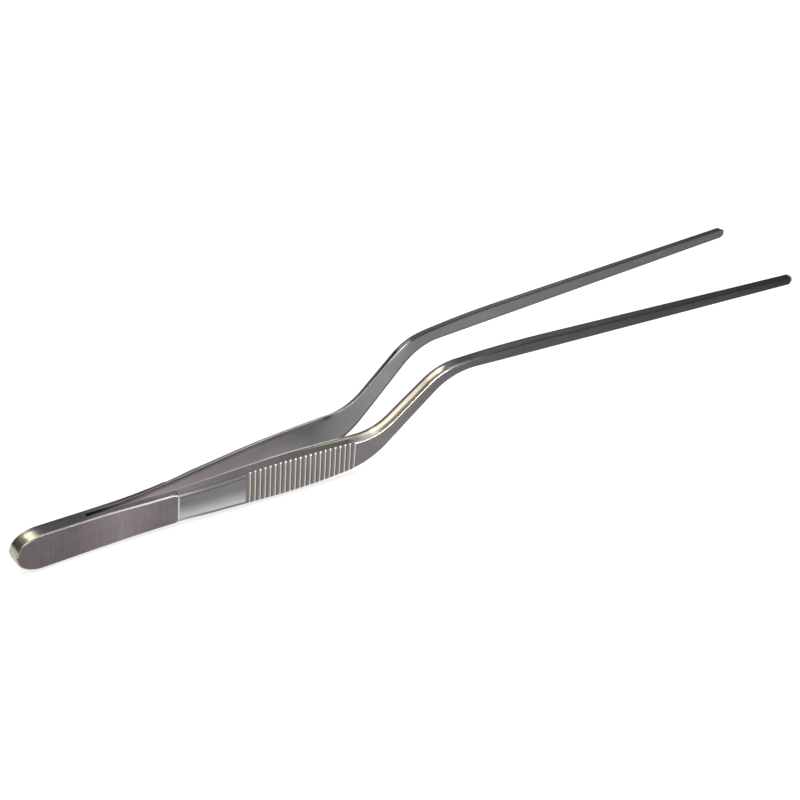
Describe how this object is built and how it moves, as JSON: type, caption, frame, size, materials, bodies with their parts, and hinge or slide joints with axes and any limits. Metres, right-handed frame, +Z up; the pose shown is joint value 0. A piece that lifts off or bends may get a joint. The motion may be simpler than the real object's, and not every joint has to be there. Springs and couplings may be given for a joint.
{
  "type": "offset tweezers",
  "caption": "Long offset spring tweezers: flat welded tail, ridged grips, arms cranked upwards and running on to slim straight serrated tips.",
  "frame": {"origin": "under the middle of the tweezers, at the height of the grips' lowest edges", "axes": "+X from the tail to the tips, +Y across to the left arm in the pinching direction, +Z up towards the crank"},
  "size_m": [0.3, 0.0408, 0.0338],
  "materials": {
    "brushed_tail_steel": "brushed across the length",
    "satin_arm_steel": "fine satin"
  },
  "bodies": {
    "tail": {"tail_spacer": "brushed_tail_steel", "left_tail_pad": "brushed_tail_steel", "right_tail_pad": "brushed_tail_steel"},
    "left_arm": {"left_arm": "satin_arm_steel"},
    "right_arm": {"right_arm": "satin_arm_steel"}
  },
  "joints": [
    {"name": "left_arm_flex", "type": "hinge", "parent": "tail", "child": "left_arm", "pos_m": [-0.0925, 0.0032, 0.007], "axis": [0, 0, -1], "range_deg": [0, 4.2], "stiffness_Nm_per_rad": 8},
    {"name": "right_arm_flex", "type": "hinge", "parent": "tail", "child": "right_arm", "pos_m": [-0.0925, -0.0032, 0.007], "axis": [0, 0, 1], "range_deg": [0, 4.2], "stiffness_Nm_per_rad": 8}
  ]
}
